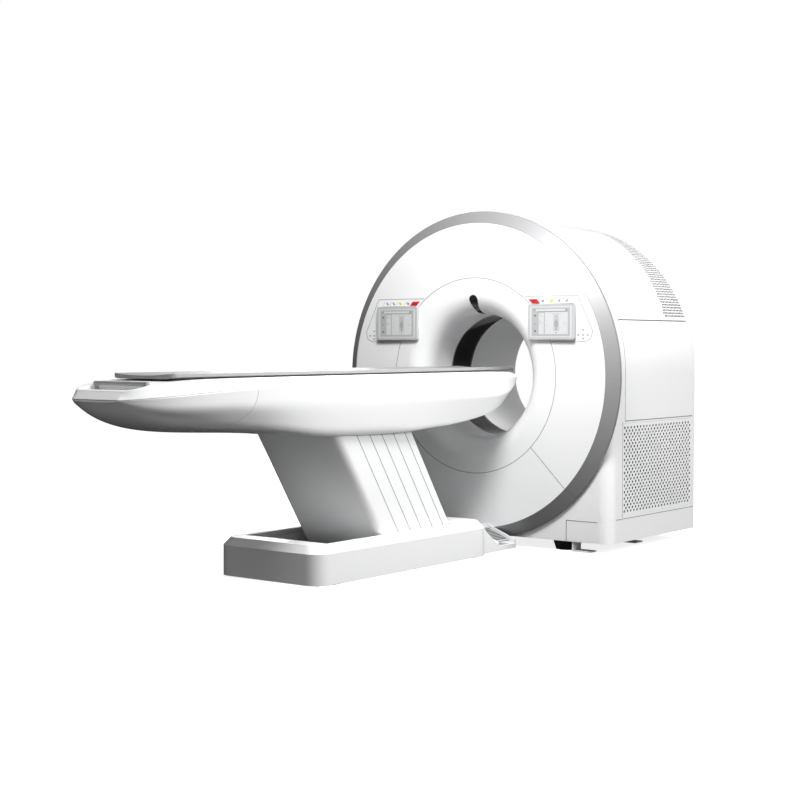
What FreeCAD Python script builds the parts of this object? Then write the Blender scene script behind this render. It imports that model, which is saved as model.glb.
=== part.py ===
import FreeCAD, Part
import math
import os

# Computed tomography scanner: a ring-shaped gantry and a patient table on a leaning lift.
# X is across the table, Y runs through the bore (the table is on the -Y side), Z is up.
# The origin is on the floor, plumb below the point where the bore axis meets the scan plane.
# Lengths are millimetres.

os.makedirs("parts", exist_ok=True)
V = FreeCAD.Vector

# ---------------------------------------------------------------- gantry sizes
AXIS_Z = 980.0            # height of the bore axis
SCAN_DEPTH = 335.0        # front plane of the gantry to the scan plane
RIM_R = 950.0             # outer radius of the silver front rim
RIM_INNER_R = 883.0       # where the rim meets the front cover
RIM_RISE = 40.0           # how far the rim's inner edge stands in front of its outer edge
RIM_LIP = 19.5            # straight outer lip of the rim
RIM_FLANGE_R = 780.0      # inner radius of the rim's mounting flange
GROOVE_R = 565.0          # joint between front cover and funnel
GROOVE_RISE = 44.0
FUNNEL_RISE = 46.0        # front-most plane of the funnel
FUNNEL_R = 120.0          # rounding radius of the funnel mouth
BORE_R = 360.0            # clear bore radius
COVER_T = 5.0             # wall of the moulded covers
BODY_HALF_W = 875.0       # half width of the body, and radius of its arched top
ARCH_Z = 1015.0           # centre height of the arched top
BODY_Z0 = 58.0            # underside of the covers
BODY_Y0 = 20.0            # body front plate, behind the front plane
BODY_Y1 = 1010.0          # body rear edge, behind the front plane
BODY_T = 4.0
CORNER_R = 75.0           # rounded front corner of the body
BODY_OPEN_R = 800.0       # opening in the body's front plate
PLINTH_Z = 187.0          # top of the plinth band on the sides
PLINTH_KNEE = (800.0, 225.0)
PLINTH_RISE = (700.0, 312.0)
PANEL_GAP = 0.8           # joint between neighbouring covers
SEAT = 0.3                # clearance of a seated piece
RUN = 0.05                # radial clearance of a running fit

WINDOW_Y0 = 242.0         # scan window band, behind the front plane
WINDOW_Y1 = 430.0
WINDOW_T = 4.0
TRIM_W = 10.0             # white trim ring beside the scan window
TRIM_PROUD = 2.0
LINER_FLARE_Y = 900.0     # where the rear flare starts
FLARE_R = 105.0           # radius of the rear flare
REAR_T = 12.0

DOOR_Y0 = 190.0
DOOR_Y1 = 990.0
DOOR_Z0 = 736.0
DOOR_Z1 = 1296.0
GRILLE_Y0 = 165.0
GRILLE_Y1 = 985.0
GRILLE_Z0 = 205.0
GRILLE_Z1 = 722.0
HOLE_R = 8.0
HOLE_PITCH = 36.0
HOLE_ROW = 18.0
GRILLE_MARGIN = 22.0
GRILLE_T = 3.0

PANEL_TOP = 1430.0        # control panels on the front cover
PANEL_BOTTOM = 1177.0
PANEL_IN = 340.0
PANEL_TOP_OUT = 702.0
PANEL_WAIST = (800.0, 1234.0)
PANEL_CORNER_R = 45.0
DISPLAY_X = 545.0
DISPLAY_Z = 1286.5
DISPLAY_W = 302.0
DISPLAY_H = 197.0
DISPLAY_T = 20.0
GLASS_MARGIN = 14.0
GLASS_T = 1.5
KEY_Z0 = 1392.0
KEY_Z1 = 1415.0
KEY_X = 410.0             # lower inner corner of the stop key
KEY_W = 50.0
KEY_SLANT = 22.0
KEY_PROUD = 5.0
KEY_DEPTH = 14.0
KEY_GAP = 0.5
LIGHT_HALF_W = 17.0       # guide light window at the top of the funnel
LIGHT_Y1 = 75.0

FOOT_X = 540.0            # levelling feet
FOOT_Y = (130.0, 930.0)
FOOT_R = 80.0
FOOT_BASE_R = 66.0
FOOT_H = 50.0
STEM_R = 15.0

# gantry inside
FRAME_Z0 = 60.0
FRAME_H = 90.0
BEAM_X0 = 500.0
BEAM_X1 = 640.0
FRAME_Y0 = 60.0
FRAME_Y1 = 960.0
CROSS_W = 100.0
ANCHOR_X = 700.0          # floor anchor holes of the gantry
ANCHOR_Y = 265.0
ANCHOR_HOLE_R = 9.0
ANCHOR_T = 8.0
PLATE_Y0 = 560.0          # stationary bearing plate
PLATE_T = 50.0
PLATE_R = 790.0
PLATE_HALF_W = 640.0
RACE_OUT_R = 500.0
RACE_MID_R = 470.0
RACE_IN_R = 430.0
DRUM_R = 760.0
DRUM_T = 20.0
DRUM_Y0 = 200.0
DRUM_BACK_Y = 480.0
HUB_R = 555.0
HUB_IN_R = 475.0
HUB_Y1 = 552.0
STATOR_GAP = 1.0
STATOR_T = 50.0
SLIP_R = 465.0
SLIP_Y1 = 700.0
TUBE_R = 110.0            # X-ray tube housing
TUBE_ORBIT = 620.0
DETECTOR_R0 = 560.0
DETECTOR_R1 = 640.0
DETECTOR_SPAN = 56.0

# ---------------------------------------------------------------- table sizes
LEAN = 33.0               # lean of the lift from vertical, towards the tail
PIVOT_LOW_Z = 85.0
PIVOT_HIGH_Z = 845.0
PED_REAR = 1186.0         # rear face of the pedestal at the low pivots, ahead of the front plane
REAR_COVER_D = 171.0
SLAT_PITCH = 98.0
FRONT_COVER_D = 75.0
SLAT_COUNT = 4
SLAT_LAP = 4.0
SLAT_T = 2.0
SLAT_STEP = 2.5
PED_HALF_W = 275.0
PED_T = 3.0
PED_CORNER_R = 48.0
PED_FRONT_R = 22.0        # corner radius of the pedestal's front cover
ARM_HALF_W = 160.0
ARM_T = 40.0
SHAFT_R = 20.0
SLAT_PIN_R = 5.5
OPEN_PIVOT_GAP = 0.3      # rear arm's upper pivot, where the closed linkage is opened
CHEEK_X0 = 170.0
CHEEK_X1 = 190.0
CHEEK_REACH = 35.0
REAR_PIVOT = 1081.0       # low pivot of the rear arm, ahead of the front plane
FRONT_PIVOT = 710.0
FRONT_FOOT = -40.0        # lower end of the front cover, along the link from its low pivot
FRONT_TRIM = 60.0         # the front cover stops this far short of the upper pivots
REAR_FOOT = 40.0
REAR_TRIM = 40.0
LUG_PLACES = (0.35, 0.65)  # lugs that carry a cover, as shares of the arm's length
LUG_HALF_W = 100.0
LUG_HALF_H = 20.0
ARM_WINDOW_HALF_W = 110.0
ARM_WINDOW_END = 150.0
ARM_WINDOW_GAP = 60.0
MOTOR_HALF_W = 110.0
MOTOR_Y0 = 230.0          # gearmotor, measured from the front arm's low pivot towards the tail
MOTOR_Y1 = 90.0
MOTOR_TOP = 100.0
CHEEK_RISE = 30.0         # how far a cheek stands beyond the pivots

BASE_HALF_W = 345.0
BASE_Y0 = 1790.0          # tail end of the base, ahead of the front plane
BASE_Y1 = 358.0
BASE_H = 195.0
BASE_Z0 = 3.0
BASE_CHAMFER = 28.0
BASE_CHAMFER_H = 40.0
BASE_CORNER_R = 90.0
BASE_T = 5.0
WELL_HALF_W = 281.0
WELL_Y0 = 1660.0
WELL_Y1 = 608.0
WELL_DEPTH = 60.0
DECK_LOW_Y = 1340.0
DECK_LOW_Z = 108.0
FLOOR_PLATE_T = 20.0
PLATE_INSET = 30.0        # floor plate edge to the inside of the base cover
TAB_REACH = 140.0         # cover tabs of the floor plate, from either end
TAB_HALF_L = 30.0
BASE_HOLE_X = 250.0
BASE_HOLE_Y = 1200.0
BASE_HOLE_R = 9.0

PEDAL_Y0 = 210.0
PEDAL_Y1 = 85.0
PEDAL_IN = (131.0, 112.0)
PEDAL_OUT = (286.0, 54.0)
PEDAL_T = 6.0
PEDAL_PIN_R = 4.0
UNIT_HALF_W = 300.0
UNIT_FLOOR = 30.0
UNIT_Y1 = 41.0
RIDGE_Z = 125.0
RIDGE_HALF_W = 110.0
WALL_T = 12.0

HULL_T = 4.0
HULL_MARGIN = 8.0         # hull opening to the rear of the pedestal
HULL_SWEEP = 235.0        # opening kept ahead of the pedestal for the lowered lift
HULL_SIDE_GAP = 5.0
HULL_FLOOR_Z = 700.0
RAIL_Z0 = 936.0           # table frame rails
RAIL_Z1 = 1003.7
RAIL_TAIL = 2080.0
RAIL_HEAD = 260.0
BEARER_X = 280.0          # half length of the cross bearers
BEARER_W = 40.0
BEARER_RISE = 20.0
BEARERS = (2080.0, 1300.0, 800.0, 300.0)
ACCESS_X0 = 600.0         # access panels low on the gantry front
ACCESS_X1 = 835.0
ACCESS_Z0 = 64.0
ACCESS_Z1 = 174.0
TAIL_SEAM_Y = 2200.0      # joint between tail and middle hull mouldings
CRADLE_TAIL = 2590.0
CRADLE_TIP = 95.0
CRADLE_HALF_W = 200.0
CRADLE_Z = 1008.3
CRADLE_T = 25.0
CRADLE_DISH = 10.0
SOCKET_R = 6.0
SOCKET_X = 80.0
SOCKET_LEN = 60.0
HANDLE_R = 10.0
HANDLE_HALF_W = 172.0
HANDLE_Y = 2712.0
HANDLE_Z = 990.0
POCKET_HALF_W = 185.0
POCKET_Y0 = 2812.0
POCKET_Y1 = 2690.0
POCKET_Z = 945.0

# Hull stations from the tail to the gantry end: distance ahead of the front plane, half width
# at the seam, seam height, crease half width, crease height, bottom half width, bottom height,
# deck half width and deck height.
STATIONS = [
    (2860.0, 150.0, 921.0, 142.0, 914.0, 130.0, 908.0, 138.0, 957.0),
    (2800.0, 215.0, 925.0, 203.0, 893.0, 165.0, 850.0, 198.0, 972.0),
    (2700.0, 265.0, 932.0, 254.0, 868.0, 200.0, 806.0, 246.0, 986.0),
    (2550.0, 300.0, 944.0, 291.0, 858.0, 226.0, 779.0, 282.0, 998.0),
    (2300.0, 318.0, 958.0, 309.0, 855.0, 246.0, 768.0, 302.0, 1006.0),
    (2100.0, 320.0, 966.0, 313.0, 855.0, 274.0, 758.0, 304.0, 1008.0),
    (1900.0, 320.0, 971.0, 315.0, 858.0, 292.0, 733.0, 304.0, 1008.0),
    (1650.0, 320.0, 973.0, 316.0, 862.0, 296.0, 708.0, 304.0, 1008.0),
    (1200.0, 320.0, 973.0, 316.0, 869.0, 296.0, 700.0, 304.0, 1008.0),
    (850.0, 320.0, 973.0, 316.0, 869.0, 296.0, 716.0, 304.0, 1008.0),
    (210.0, 320.0, 974.0, 314.0, 869.0, 274.0, 766.0, 304.0, 1008.0),
    (90.0, 315.0, 974.0, 308.0, 905.0, 275.0, 880.0, 300.0, 1006.0),
    (42.0, 310.0, 975.0, 306.0, 969.0, 296.0, 966.0, 304.0, 984.0),
]

FRONT = -SCAN_DEPTH
RISE = math.radians(LEAN)
SIN = math.sin(RISE)
COS = math.cos(RISE)
LINK = (PIVOT_HIGH_Z - PIVOT_LOW_Z) / COS


# ---------------------------------------------------------------- shape helpers
def save(name, shape):
    shape.exportStep("parts/%s.step" % name)


def block(x0, x1, y0, y1, z0, z1):
    return Part.makeBox(x1 - x0, y1 - y0, z1 - z0, V(x0, y0, z0))


def rod(radius, start, end):
    along = end.sub(start)
    return Part.makeCylinder(radius, along.Length, start, along)


def closed(points):
    return Part.Face(Part.makePolygon(points + points[:1]))


def prism_x(outline, x0, x1):
    return closed([V(x0, y, z) for y, z in outline]).extrude(V(x1 - x0, 0, 0))


def prism_y(outline, y0, y1):
    return closed([V(x, y0, z) for x, z in outline]).extrude(V(0, y1 - y0, 0))


def mirrored(outline):
    return outline + [(-x, z) for x, z in reversed(outline)]


def axis_point(radius, depth):
    return V(radius, FRONT + depth, AXIS_Z)


def turn(face, degrees=360.0):
    return face.revolve(V(0, 0, AXIS_Z), V(0, 1, 0), degrees)


def turned(profile):
    return turn(closed([axis_point(r, d) for r, d in profile]))


def ring(r0, r1, d0, d1):
    return turned([(r0, d0), (r1, d0), (r1, d1), (r0, d1)])


def bore_cylinder(radius, d0, d1):
    return Part.makeCylinder(radius, d1 - d0, V(0, FRONT + d0, AXIS_Z), V(0, 1, 0))


def flip_x(shape):
    return shape.mirror(V(0, 0, 0), V(1, 0, 0))


def fuse_all(shapes):
    return shapes[0].multiFuse(shapes[1:]).removeSplitter()


def pair(name, shape):
    save(name + "_right", shape)
    save(name + "_left", flip_x(shape))


# ---------------------------------------------------------------- front covers
def lower_wedge(spread):
    """Quarter below the bore axis, between the two diagonal joints."""
    reach = 2.0 * RIM_R
    top = AXIS_Z + spread
    outline = [(0.0, top), (reach, top - reach), (-reach, top - reach)]
    return prism_y(outline, FRONT - 200.0, FRONT + 500.0)


def split_ring(name, shape):
    save(name + "_upper", shape.cut(lower_wedge(PANEL_GAP / 2.0)))
    save(name + "_lower", shape.common(lower_wedge(-PANEL_GAP / 2.0)))


def rim_ring():
    wall = COVER_T
    outer = [(RIM_INNER_R, -RIM_RISE), (RIM_R, 0.0), (RIM_R, RIM_LIP), (RIM_FLANGE_R, RIM_LIP)]
    inner = [(RIM_FLANGE_R, RIM_LIP - wall), (RIM_R - wall, RIM_LIP - wall), (RIM_R - wall, wall),
             (RIM_INNER_R, wall - RIM_RISE)]
    return turned(outer + inner)


def front_cover():
    r0 = GROOVE_R + PANEL_GAP
    r1 = RIM_INNER_R - PANEL_GAP
    face = [(r0, -GROOVE_RISE), (r1, -RIM_RISE)]
    back = [(r1, COVER_T - RIM_RISE), (r0, COVER_T - GROOVE_RISE)]
    return turned(face + back)


def panel_outline(grow):
    """Control panel edge, as (x, z): slanted outer side with one rounded lower corner."""
    x_out, z_waist = PANEL_WAIST
    z0 = PANEL_BOTTOM - grow
    z1 = PANEL_TOP + grow
    bulge = PANEL_CORNER_R * (1.0 - math.cos(math.radians(45.0)))
    corner = (x_out + grow - bulge, z0 + bulge)
    return [(PANEL_IN, z0), (x_out - PANEL_CORNER_R, z0), corner, (x_out + grow, z_waist),
            (PANEL_TOP_OUT + grow, z1), (PANEL_IN, z1)]


def panel_body(grow):
    body = prism_y(panel_outline(grow), FRONT - 80.0, FRONT)
    return body.cut(bore_cylinder(GROOVE_R + 8.0 - grow, -100.0, 10.0))


def key_outline(grow):
    return [(KEY_X - grow, KEY_Z0 - grow), (KEY_X + KEY_W + grow, KEY_Z0 - grow),
            (KEY_X + KEY_W - KEY_SLANT + grow, KEY_Z1 + grow), (KEY_X - KEY_SLANT - grow, KEY_Z1 + grow)]


def key_body(grow):
    face_y = FRONT - GROOVE_RISE - KEY_PROUD
    return prism_y(key_outline(grow), face_y, face_y + KEY_DEPTH)


def build_front():
    save("rim_ring", rim_ring())
    cover = front_cover()
    panel = cover.common(panel_body(0.0)).cut(key_body(KEY_GAP))
    pair("control_panel", panel)
    cover = cover.cut(panel_body(PANEL_GAP))
    cover = cover.cut(flip_x(panel_body(PANEL_GAP)))
    split_ring("front_cover", cover)
    pair("stop_key", key_body(0.0))


def build_displays():
    back = FRONT - FUNNEL_RISE - SEAT
    x0 = DISPLAY_X - DISPLAY_W / 2.0
    z0 = DISPLAY_Z - DISPLAY_H / 2.0
    case = block(x0, x0 + DISPLAY_W, back - DISPLAY_T, back, z0, z0 + DISPLAY_H)
    upright = [e for e in case.Edges if abs(e.Vertexes[0].Y - e.Vertexes[1].Y) > 1.0]
    case = case.makeFillet(8.0, upright)
    front = back - DISPLAY_T
    m = GLASS_MARGIN
    glass = block(x0 + m, x0 + DISPLAY_W - m, front, front + GLASS_T, z0 + m, z0 + DISPLAY_H - m)
    pair("display", case.cut(glass))
    save("display_glasses", Part.makeCompound([glass, flip_x(glass)]))


def funnel_face(inset, end):
    """Section of the funnel wall, thickened from the visible side by COVER_T."""
    centre_d = FUNNEL_R - FUNNEL_RISE
    centre_r = BORE_R + FUNNEL_R
    half = math.sqrt(0.5)
    edges = []
    rims = []
    for wall in (inset, inset + COVER_T):
        radius = FUNNEL_R - wall
        lip = axis_point(GROOVE_R, wall - GROOVE_RISE)
        top = axis_point(centre_r, centre_d - radius)
        mid = axis_point(centre_r - radius * half, centre_d - radius * half)
        low = axis_point(centre_r - radius, centre_d)
        tail = axis_point(centre_r - radius, end)
        edges.append([Part.makeLine(lip, top), Part.Arc(top, mid, low).toShape(), Part.makeLine(low, tail)])
        rims.append((lip, tail))
    joins = [Part.makeLine(rims[0][0], rims[1][0]), Part.makeLine(rims[0][1], rims[1][1])]
    loop = Part.Wire(Part.__sortEdges__(edges[0] + edges[1] + joins))
    return Part.Face(loop)


def build_funnel():
    end = WINDOW_Y0 - TRIM_W - SEAT
    funnel = turn(funnel_face(0.0, end))
    z1 = AXIS_Z + BORE_R + 70.0
    half = LIGHT_HALF_W
    y0 = FRONT - FUNNEL_RISE
    y1 = FRONT + LIGHT_Y1
    lens = funnel.common(block(-half, half, y0, y1, AXIS_Z, z1))
    save("guide_light_window", lens)
    gap = PANEL_GAP / 2.0
    slot = block(-half - gap, half + gap, y0 - gap, y1 + gap, AXIS_Z, z1 + gap)
    split_ring("funnel", funnel.cut(slot))


def build_bore():
    wall = BORE_R + WINDOW_T
    save("scan_window", ring(BORE_R, wall, WINDOW_Y0, WINDOW_Y1))
    inner = BORE_R - TRIM_PROUD
    front_trim = ring(inner, wall, WINDOW_Y0 - TRIM_W, WINDOW_Y0 - SEAT)
    rear_trim = ring(inner, wall, WINDOW_Y1 + SEAT, WINDOW_Y1 + TRIM_W)
    save("window_trim_rings", Part.makeCompound([front_trim, rear_trim]))
    centre_r = BORE_R + FLARE_R
    half = math.sqrt(0.5)
    start = WINDOW_Y1 + TRIM_W + SEAT
    edges = []
    ends = []
    for wall in (0.0, COVER_T):
        radius = FLARE_R - wall
        head = axis_point(centre_r - radius, start)
        low = axis_point(centre_r - radius, LINER_FLARE_Y)
        mid = axis_point(centre_r - radius * half, LINER_FLARE_Y + radius * half)
        tail = axis_point(centre_r, LINER_FLARE_Y + radius)
        edges += [Part.makeLine(head, low), Part.Arc(low, mid, tail).toShape()]
        ends.append((head, tail))
    edges.append(Part.makeLine(ends[0][0], ends[1][0]))
    edges.append(Part.makeLine(ends[0][1], ends[1][1]))
    save("bore_liner", turn(Part.Face(Part.Wire(Part.__sortEdges__(edges)))))


# ---------------------------------------------------------------- body covers
def body_solid(inset, d0, d1, corner):
    """The body's outer form, moved in by inset: straight sides under a half-round top."""
    half_w = BODY_HALF_W - inset
    left = V(-half_w, FRONT + d0, BODY_Z0)
    right = V(half_w, FRONT + d0, BODY_Z0)
    spring_r = V(half_w, FRONT + d0, ARCH_Z)
    spring_l = V(-half_w, FRONT + d0, ARCH_Z)
    crown = V(0, FRONT + d0, ARCH_Z + half_w)
    edges = [Part.makeLine(left, right), Part.makeLine(right, spring_r)]
    edges += [Part.Arc(spring_r, crown, spring_l).toShape(), Part.makeLine(spring_l, left)]
    solid = Part.Face(Part.Wire(edges)).extrude(V(0, d1 - d0, 0))
    front = [e for e in solid.Edges
             if abs(e.BoundBox.YMax - FRONT - d0) < 0.01 and e.BoundBox.ZMax > BODY_Z0 + 1.0]
    return solid.makeFillet(corner, front) if corner else solid


def body_shell():
    outer = body_solid(0.0, BODY_Y0, BODY_Y1, CORNER_R)
    inner = body_solid(BODY_T, BODY_Y0 + BODY_T, BODY_Y1 + 50.0, CORNER_R - BODY_T)
    open_bottom = inner.fuse(inner.translated(V(0, 0, -20.0)))
    return outer.cut(open_bottom).cut(bore_cylinder(BODY_OPEN_R, -10.0, BODY_Y0 + 20.0))


def plinth_outline(grow):
    x_side = BODY_HALF_W + 100.0
    right = [(x_side, 0.0), (x_side, PLINTH_Z + grow), (BODY_HALF_W, PLINTH_Z + grow),
             (PLINTH_KNEE[0], PLINTH_KNEE[1] + grow), (PLINTH_RISE[0], PLINTH_RISE[1] + grow)]
    return mirrored(right)


def access_block(grow):
    y1 = FRONT + BODY_Y0 + CORNER_R
    return block(ACCESS_X0 - grow, ACCESS_X1 + grow, FRONT, y1, ACCESS_Z0 - grow, ACCESS_Z1 + grow)


def build_body():
    shell = body_shell()
    far = BODY_Y1 + 100.0
    plinth = shell.common(prism_y(plinth_outline(0.0), FRONT, FRONT + far))
    panel = plinth.common(access_block(0.0))
    save("access_panels", Part.makeCompound([panel, flip_x(panel)]))
    plinth = plinth.cut(access_block(PANEL_GAP)).cut(flip_x(access_block(PANEL_GAP)))
    save("plinth_cover", plinth)
    rest = shell.cut(prism_y(plinth_outline(PANEL_GAP), FRONT, FRONT + far))
    side_box = block(0.0, BODY_HALF_W + 1.0, FRONT, FRONT + far, 0.0, DOOR_Z1 + PANEL_GAP)
    side = rest.common(side_box)
    gap = PANEL_GAP
    reach = BODY_HALF_W + 10.0
    door_box = block(300.0, reach, FRONT + DOOR_Y0, FRONT + DOOR_Y1, DOOR_Z0, DOOR_Z1)
    door_hole = block(300.0, reach, FRONT + DOOR_Y0 - gap, FRONT + DOOR_Y1 + gap, DOOR_Z0 - gap,
                      DOOR_Z1 + 2.0 * gap)
    grille_hole = block(300.0, reach, FRONT + GRILLE_Y0, FRONT + GRILLE_Y1, GRILLE_Z0, GRILLE_Z1)
    pair("side_door", side.common(door_box))
    pair("side_cover", side.cut(door_hole).cut(grille_hole))
    top_box = block(-reach, reach, FRONT, FRONT + far, DOOR_Z1 + 2.0 * gap, ARCH_Z + reach)
    save("top_cover", rest.common(top_box))


def build_grilles():
    gap = PANEL_GAP
    y0, y1 = FRONT + GRILLE_Y0 + gap, FRONT + GRILLE_Y1 - gap
    z0, z1 = GRILLE_Z0 + gap, GRILLE_Z1 - gap
    x = BODY_HALF_W - BODY_T
    border = Part.makePolygon([V(x, y0, z0), V(x, y1, z0), V(x, y1, z1), V(x, y0, z1), V(x, y0, z0)])
    holes = []
    row = 0
    z = z0 + GRILLE_MARGIN
    while z <= z1 - GRILLE_MARGIN:
        y = y0 + GRILLE_MARGIN + (row % 2) * HOLE_PITCH / 2.0
        while y <= y1 - GRILLE_MARGIN:
            holes.append(Part.Wire(Part.makeCircle(HOLE_R, V(x, y, z), V(1, 0, 0))))
            y += HOLE_PITCH
        z += HOLE_ROW
        row += 1
    plate = Part.Face([border] + holes).extrude(V(GRILLE_T, 0, 0))
    pair("side_grille", plate)


def build_rear():
    outer = body_solid(2.0, BODY_Y1 + SEAT, BODY_Y1 + SEAT + REAR_T, 0.0)
    hole = bore_cylinder(BORE_R + FLARE_R + SEAT, BODY_Y1 - 10.0, BODY_Y1 + 40.0)
    save("rear_cover", outer.cut(hole))


# ---------------------------------------------------------------- inside the gantry
def build_frames():
    top = FRAME_Z0 + FRAME_H
    parts = []
    for side in (-1.0, 1.0):
        x0, x1 = sorted((side * BEAM_X0, side * BEAM_X1))
        parts.append(block(x0, x1, FRONT + FRAME_Y0, FRONT + FRAME_Y1, FRAME_Z0, top))
        for d in (FRAME_Y0 + 40.0, FRAME_Y1 - 80.0):
            w0, w1 = sorted((side * BEAM_X1, side * (BODY_HALF_W - BODY_T - SEAT)))
            parts.append(block(w0, w1, FRONT + d, FRONT + d + 40.0, FRAME_Z0 + 40.0, top))
        for y in (-ANCHOR_Y, ANCHOR_Y):
            f0, f1 = sorted((side * (BEAM_X1 - 10.0), side * (ANCHOR_X + 40.0)))
            r0, r1 = sorted((side * (BEAM_X1 - 10.0), side * BEAM_X1))
            parts.append(block(f0, f1, y - 40.0, y + 40.0, 0.0, ANCHOR_T))
            parts.append(block(r0, r1, y - 40.0, y + 40.0, 0.0, FRAME_Z0 + 1.0))
    for d in (FRAME_Y0, PLATE_Y0 - 25.0, FRAME_Y1 - CROSS_W):
        parts.append(block(-BEAM_X0 - 1.0, BEAM_X0 + 1.0, FRONT + d, FRONT + d + CROSS_W, FRAME_Z0, top))
    frame = fuse_all(parts)
    for x in (-ANCHOR_X, ANCHOR_X):
        for y in (-ANCHOR_Y, ANCHOR_Y):
            frame = frame.cut(rod(ANCHOR_HOLE_R, V(x, y, -1.0), V(x, y, ANCHOR_T + 1.0)))
    save("base_frame", frame)
    feet = []
    for x in (-FOOT_X, FOOT_X):
        for d in FOOT_Y:
            pad = Part.makeCone(FOOT_BASE_R, FOOT_R, FOOT_H - 8.0, V(x, FRONT + d, 0))
            collar = Part.makeCylinder(FOOT_R, 8.0, V(x, FRONT + d, FOOT_H - 8.0))
            stem = Part.makeCylinder(STEM_R, FRAME_Z0 - FOOT_H + 1.0, V(x, FRONT + d, FOOT_H - 1.0))
            feet.append(pad.fuse([collar, stem]).removeSplitter())
    save("levelling_feet", Part.makeCompound(feet))


def build_bearing():
    y0, y1 = FRONT + PLATE_Y0, FRONT + PLATE_Y0 + PLATE_T
    disc = bore_cylinder(PLATE_R, PLATE_Y0, PLATE_Y0 + PLATE_T)
    legs = block(-PLATE_HALF_W, PLATE_HALF_W, y0, y1, FRAME_Z0 + FRAME_H, AXIS_Z)
    post_top = ARCH_Z + BODY_HALF_W - BODY_T - 4.0 * SEAT
    post = block(-40.0, 40.0, y0, y1, AXIS_Z + PLATE_R - 20.0, post_top)
    plate = fuse_all([disc, legs, post])
    save("stationary_frame", plate.cut(bore_cylinder(RACE_OUT_R, 0.0, BODY_Y1)))
    save("bearing_outer_race", ring(RACE_MID_R, RACE_OUT_R, PLATE_Y0, PLATE_Y0 + PLATE_T))
    race_y0 = DRUM_BACK_Y + DRUM_T
    race_y1 = PLATE_Y0 + PLATE_T
    save("bearing_inner_race", ring(RACE_IN_R, RACE_MID_R - RUN, race_y0, race_y1))
    save("slip_ring", ring(RACE_IN_R, SLIP_R, race_y1, SLIP_Y1))
    brush_y0 = y1
    brush_y1 = FRONT + SLIP_Y1 - 10.0
    z1 = AXIS_Z - SLIP_R - 0.5
    brush = block(-60.0, 60.0, brush_y0, brush_y1, z1 - 80.0, z1)
    save("brush_block", brush)
    save("drive_stator", ring(HUB_R + STATOR_GAP, HUB_R + STATOR_GAP + STATOR_T, DRUM_BACK_Y + DRUM_T + 3.0,
                              PLATE_Y0))


def build_rotor():
    back = DRUM_BACK_Y + DRUM_T
    save("rotor_drum", turned([(RACE_IN_R, DRUM_BACK_Y), (DRUM_R - DRUM_T, DRUM_BACK_Y),
                               (DRUM_R - DRUM_T, DRUM_Y0), (DRUM_R, DRUM_Y0), (DRUM_R, back),
                               (HUB_R, back), (HUB_R, HUB_Y1), (HUB_IN_R, HUB_Y1), (HUB_IN_R, back),
                               (RACE_IN_R, back)]))
    y1 = FRONT + DRUM_BACK_Y
    tube_z = AXIS_Z + TUBE_ORBIT
    tube = rod(TUBE_R, V(0, FRONT + DRUM_Y0 + 15.0, tube_z), V(0, y1, tube_z))
    save("x_ray_tube", tube)
    top = tube_z - TUBE_R
    save("collimator", block(-90.0, 90.0, -50.0, y1, top - 75.0, top - SEAT))
    save("generator", block(500.0, 700.0, FRONT + 260.0, y1, AXIS_Z - 150.0, AXIS_Z + 150.0))
    d0, d1 = SCAN_DEPTH - 45.0, DRUM_BACK_Y
    half = math.radians(DETECTOR_SPAN / 2.0)
    corners = [(DETECTOR_R0, d0), (DETECTOR_R1, d0), (DETECTOR_R1, d1), (DETECTOR_R0, d1)]
    points = [V(-r * math.sin(half), FRONT + d, AXIS_Z - r * math.cos(half)) for r, d in corners]
    save("detector_arc", turn(closed(points), -DETECTOR_SPAN))


# ---------------------------------------------------------------- lift and pedestal
def lean_point(pivot, along, across, x):
    """A point beside a lift link: along it from the low pivot, across it towards the gantry."""
    y = FRONT - pivot - along * SIN + across * COS
    return V(x, y, PIVOT_LOW_Z + along * COS + across * SIN)


def lean_block(pivot, a0, a1, c0, c1, x0, x1):
    corners = [(a0, c0), (a0, c1), (a1, c1), (a1, c0)]
    face = closed([lean_point(pivot, a, c, x0) for a, c in corners])
    return face.extrude(V(x1 - x0, 0, 0))


def lean_pin(pivot, along, radius, x0, x1):
    return rod(radius, lean_point(pivot, along, 0.0, x0), lean_point(pivot, along, 0.0, x1))


def lift_arm(pivot, lug_side, lug_reach):
    half = ARM_T / 2.0
    body = [lean_block(pivot, 0.0, LINK, -half, half, -ARM_HALF_W, ARM_HALF_W)]
    for along in (0.0, LINK):
        body.append(lean_pin(pivot, along, 2.0 * SHAFT_R, -ARM_HALF_W, ARM_HALF_W))
        body.append(lean_pin(pivot, along, SHAFT_R, -CHEEK_X1, CHEEK_X1))
    c0, c1 = sorted((0.0, lug_side * lug_reach))
    low_lug, high_lug = [share * LINK for share in LUG_PLACES]
    for along in (low_lug, high_lug):
        body.append(lean_block(pivot, along - LUG_HALF_H, along + LUG_HALF_H, c0, c1, -LUG_HALF_W, LUG_HALF_W))
    arm = fuse_all(body)
    through = half + 1.0
    wide = ARM_WINDOW_HALF_W
    lower = lean_block(pivot, ARM_WINDOW_END, low_lug - ARM_WINDOW_GAP, -through, through, -wide, wide)
    upper = lean_block(pivot, high_lug + ARM_WINDOW_GAP, LINK - ARM_WINDOW_END, -through, through, -wide, wide)
    return arm.cut(lower).cut(upper)


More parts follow.
